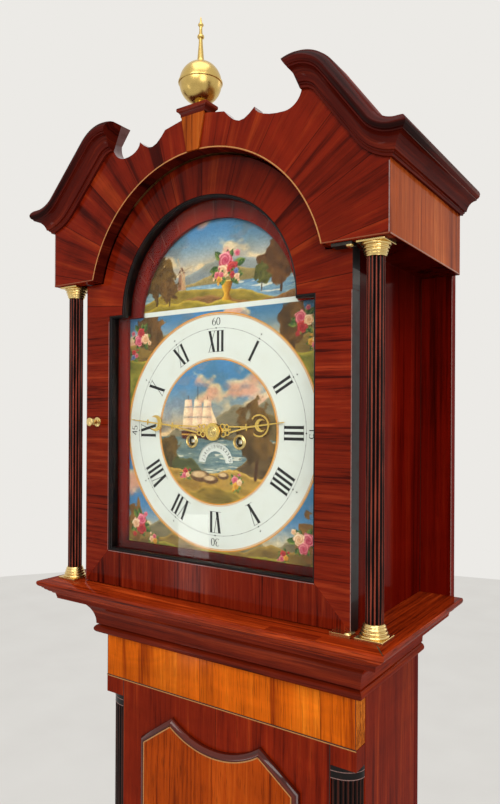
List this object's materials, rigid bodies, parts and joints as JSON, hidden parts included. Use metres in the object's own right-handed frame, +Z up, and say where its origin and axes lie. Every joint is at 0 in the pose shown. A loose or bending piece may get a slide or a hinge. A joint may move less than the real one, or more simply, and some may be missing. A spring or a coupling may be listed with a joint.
{
  "type": "longcase clock",
  "caption": "Tall floor-standing pendulum clock with an arched painted dial, swan-neck hood on reeded columns, hinged trunk door, and weights and pendulum inside.",
  "frame": {"origin": "on the floor, under the middle of the overall box", "axes": "+Z up; the dial faces -Y; +X to the right as seen from the front"},
  "size_m": [0.599, 0.291, 2.312],
  "materials": {
    "mahogany": "french polished, deep red brown",
    "flame_mahogany": "french polished flame veneer",
    "dark_moulding": "dark polished mahogany",
    "satinwood": "polished amber veneer",
    "ebonised": "ebonised and polished",
    "pine": "plain, unpolished",
    "brass": "lacquered",
    "plate_brass": "brushed",
    "steel": "polished",
    "iron": "blackened",
    "bell_metal": "turned",
    "dial_enamel": "painted and varnished",
    "gut": "natural",
    "glass": "clear"
  },
  "bodies": {
    "case": {"backboard": "pine", "trunk_sides": "mahogany", "trunk_front": "flame_mahogany", "frieze": "satinwood", "quarter_columns": "ebonised", "throat_moulding": "dark_moulding", "waist_moulding": "dark_moulding", "base_front": "mahogany", "base_boards": "mahogany", "bracket_feet": "mahogany", "seatboard": "pine", "front_plate": "plate_brass", "back_plate": "plate_brass", "back_cock": "plate_brass", "bell_stand": "steel", "bell": "bell_metal", "false_plate": "iron", "dial_plate": "dial_enamel", "going_line": "gut", "strike_line": "gut"},
    "hood": {"hood_sill": "dark_moulding", "hood_sides": "mahogany", "hood_fascia": "flame_mahogany", "horn_mouldings": "dark_moulding", "hood_roof": "pine", "crest_cap": "flame_mahogany", "finial": "brass", "hood_columns": "ebonised", "column_brasses": "brass", "hood_mask": "dark_moulding"},
    "hood_door": {"hood_door": "flame_mahogany", "hood_glass": "glass", "hood_door_fittings": "brass"},
    "trunk_door": {"trunk_door": "flame_mahogany", "trunk_door_fittings": "brass"},
    "minute_arbor": {"centre_wheel": "plate_brass", "minute_hand": "brass"},
    "hour_pipe": {"hour_wheel": "plate_brass", "hour_hand": "brass"},
    "minute_wheel": {"minute_wheel": "plate_brass"},
    "third_wheel": {"third_wheel": "plate_brass"},
    "escape_wheel": {"escape_wheel": "plate_brass"},
    "going_great_wheel": {"going_great_wheel": "plate_brass"},
    "going_drum": {"going_drum": "plate_brass"},
    "pallets": {"pallets": "steel"},
    "pendulum": {"pendulum_rod": "steel", "pendulum_bob": "brass"},
    "calendar": {"calendar_disc": "dial_enamel"},
    "strike_drum": {"strike_drum": "plate_brass"},
    "strike_great_wheel": {"strike_great_wheel": "plate_brass"},
    "pin_wheel": {"pin_wheel": "plate_brass"},
    "gathering_wheel": {"gathering_wheel": "plate_brass"},
    "warning_wheel": {"warning_wheel": "plate_brass"},
    "fly": {"fly": "plate_brass"},
    "hammer": {"hammer": "steel"},
    "rack": {"rack": "plate_brass"},
    "going_weight": {"going_weight": "iron"},
    "strike_weight": {"strike_weight": "iron"},
    "going_pulley": {"going_pulley": "plate_brass"},
    "strike_pulley": {"strike_pulley": "plate_brass"}
  },
  "joints": [
    {"name": "hood_slide", "type": "slide", "parent": "case", "child": "hood", "axis": [0, -1, 0], "range_m": [0, 0.26]},
    {"name": "hood_door_hinge", "type": "hinge", "parent": "hood", "child": "hood_door", "pos_m": [0.222, -0.1125, 1.762], "axis": [0, 0, 1], "range_deg": [0, 100]},
    {"name": "trunk_door_hinge", "type": "hinge", "parent": "case", "child": "trunk_door", "pos_m": [0.1375, -0.0685, 1.1], "axis": [0, 0, 1], "range_deg": [0, 110]},
    {"name": "minute_turn", "type": "hinge", "parent": "case", "child": "minute_arbor", "pos_m": [0, -0.0017, 1.762], "axis": [0, 1, 0], "continuous": true},
    {"name": "hour_turn", "type": "hinge", "parent": "case", "child": "hour_pipe", "pos_m": [0, -0.0017, 1.762], "axis": [0, 1, 0], "continuous": true},
    {"name": "minute_wheel_turn", "type": "hinge", "parent": "case", "child": "minute_wheel", "pos_m": [-0.0162, -0.0017, 1.79006], "axis": [0, 1, 0], "continuous": true},
    {"name": "third_wheel_turn", "type": "hinge", "parent": "case", "child": "third_wheel", "pos_m": [0.01275, -0.0017, 1.78408], "axis": [0, 1, 0], "continuous": true},
    {"name": "escape_wheel_turn", "type": "hinge", "parent": "case", "child": "escape_wheel", "pos_m": [0, -0.0017, 1.80207], "axis": [0, 1, 0], "continuous": true},
    {"name": "going_great_wheel_turn", "type": "hinge", "parent": "case", "child": "going_great_wheel", "pos_m": [0.0407, -0.0017, 1.7487], "axis": [0, 1, 0], "continuous": true},
    {"name": "going_drum_turn", "type": "hinge", "parent": "case", "child": "going_drum", "pos_m": [0.0407, -0.0017, 1.7487], "axis": [0, 1, 0], "range_deg": [-5400, 0]},
    {"name": "pallet_rock", "type": "hinge", "parent": "case", "child": "pallets", "pos_m": [0, 0.0573, 1.828], "axis": [0, 1, 0], "range_deg": [-3, 3]},
    {"name": "pendulum_swing", "type": "hinge", "parent": "case", "child": "pendulum", "pos_m": [0, 0.0573, 1.828], "axis": [0, 1, 0], "range_deg": [-3, 3]},
    {"name": "calendar_turn", "type": "hinge", "parent": "case", "child": "calendar", "pos_m": [0, -0.0667, 1.7182], "axis": [0, 1, 0], "continuous": true},
    {"name": "strike_drum_turn", "type": "hinge", "parent": "case", "child": "strike_drum", "pos_m": [-0.0407, -0.0017, 1.7487], "axis": [0, 1, 0], "range_deg": [-5400, 0]},
    {"name": "strike_great_wheel_turn", "type": "hinge", "parent": "case", "child": "strike_great_wheel", "pos_m": [-0.0407, -0.0017, 1.7487], "axis": [0, 1, 0], "continuous": true},
    {"name": "pin_wheel_turn", "type": "hinge", "parent": "case", "child": "pin_wheel", "pos_m": [-0.02811, -0.0017, 1.78328], "axis": [0, 1, 0], "continuous": true},
    {"name": "gathering_wheel_turn", "type": "hinge", "parent": "case", "child": "gathering_wheel", "pos_m": [-0.04107, -0.0017, 1.80112], "axis": [0, 1, 0], "continuous": true},
    {"name": "warning_wheel_turn", "type": "hinge", "parent": "case", "child": "warning_wheel", "pos_m": [-0.03284, -0.0017, 1.81662], "axis": [0, 1, 0], "continuous": true},
    {"name": "fly_turn", "type": "hinge", "parent": "case", "child": "fly", "pos_m": [-0.04004, -0.0017, 1.82909], "axis": [0, 1, 0], "continuous": true},
    {"name": "hammer_lift", "type": "hinge", "parent": "case", "child": "hammer", "pos_m": [-0.054, -0.0017, 1.786], "axis": [0, 1, 0], "range_deg": [-10, 0], "stiffness_Nm_per_rad": 0.05, "springref_deg": 2.86},
    {"name": "rack_fall", "type": "hinge", "parent": "case", "child": "rack", "pos_m": [-0.058, -0.0017, 1.717], "axis": [0, 1, 0], "range_deg": [-14, 0]},
    {"name": "going_weight_fall", "type": "slide", "parent": "case", "child": "going_weight", "axis": [0, 0, -1], "range_m": [0, 1.1], "deforming": ["going_line"]},
    {"name": "strike_weight_fall", "type": "slide", "parent": "case", "child": "strike_weight", "axis": [0, 0, -1], "range_m": [0, 1.1], "deforming": ["strike_line"]},
    {"name": "going_pulley_turn", "type": "hinge", "parent": "going_weight", "child": "going_pulley", "pos_m": [0.03762, -0.0077, 1.588], "axis": [0, 1, 0], "range_deg": [-3300, 0]},
    {"name": "strike_pulley_turn", "type": "hinge", "parent": "strike_weight", "child": "strike_pulley", "pos_m": [-0.04378, -0.0077, 1.588], "axis": [0, 1, 0], "range_deg": [-3300, 0]}
  ],
  "couplings": [
    {"joint": "hour_turn", "follows": "minute_turn", "ratio": 0.083333},
    {"joint": "minute_wheel_turn", "follows": "minute_turn", "ratio": -1},
    {"joint": "third_wheel_turn", "follows": "minute_turn", "ratio": -7.5},
    {"joint": "escape_wheel_turn", "follows": "minute_turn", "ratio": 60},
    {"joint": "going_great_wheel_turn", "follows": "minute_turn", "ratio": -0.083333},
    {"joint": "going_drum_turn", "follows": "going_weight_fall", "rad_per_m": -83.682},
    {"joint": "strike_drum_turn", "follows": "strike_weight_fall", "rad_per_m": -83.682},
    {"joint": "going_pulley_turn", "follows": "going_weight_fall", "rad_per_m": -48.031},
    {"joint": "strike_pulley_turn", "follows": "strike_weight_fall", "rad_per_m": -48.031},
    {"joint": "pallet_rock", "follows": "pendulum_swing", "ratio": 1},
    {"joint": "strike_great_wheel_turn", "follows": "gathering_wheel_turn", "ratio": 0.011905},
    {"joint": "pin_wheel_turn", "follows": "gathering_wheel_turn", "ratio": -0.125},
    {"joint": "warning_wheel_turn", "follows": "gathering_wheel_turn", "ratio": -8},
    {"joint": "fly_turn", "follows": "gathering_wheel_turn", "ratio": 56}
  ]
}
